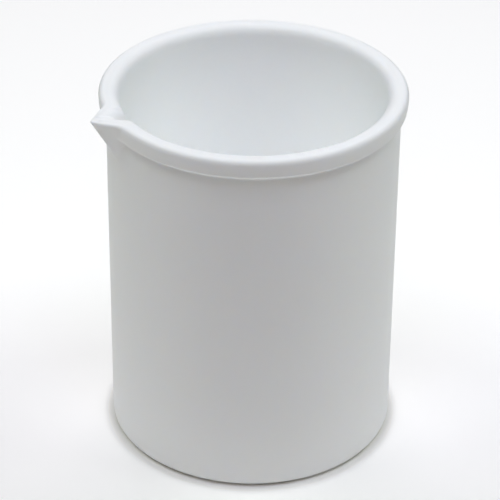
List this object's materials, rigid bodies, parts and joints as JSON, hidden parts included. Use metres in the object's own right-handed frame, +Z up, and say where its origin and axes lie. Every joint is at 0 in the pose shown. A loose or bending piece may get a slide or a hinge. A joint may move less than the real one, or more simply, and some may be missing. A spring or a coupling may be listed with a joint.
{
  "type": "laboratory beaker",
  "caption": "Low-form laboratory beaker in opaque white plastic with a beaded rim and a V-shaped pouring spout, for holding, mixing and pouring corrosive liquids.",
  "frame": {"origin": "on the beaker's axis, at the flat underside that it stands on", "axes": "+Z up along the beaker's axis, out of its mouth; the pouring spout points along -X"},
  "size_m": [0.1, 0.094, 0.1178],
  "materials": {
    "white_fluoropolymer": "satin"
  },
  "bodies": {
    "root": {"beaker_body": "white_fluoropolymer"}
  },
  "joints": []
}
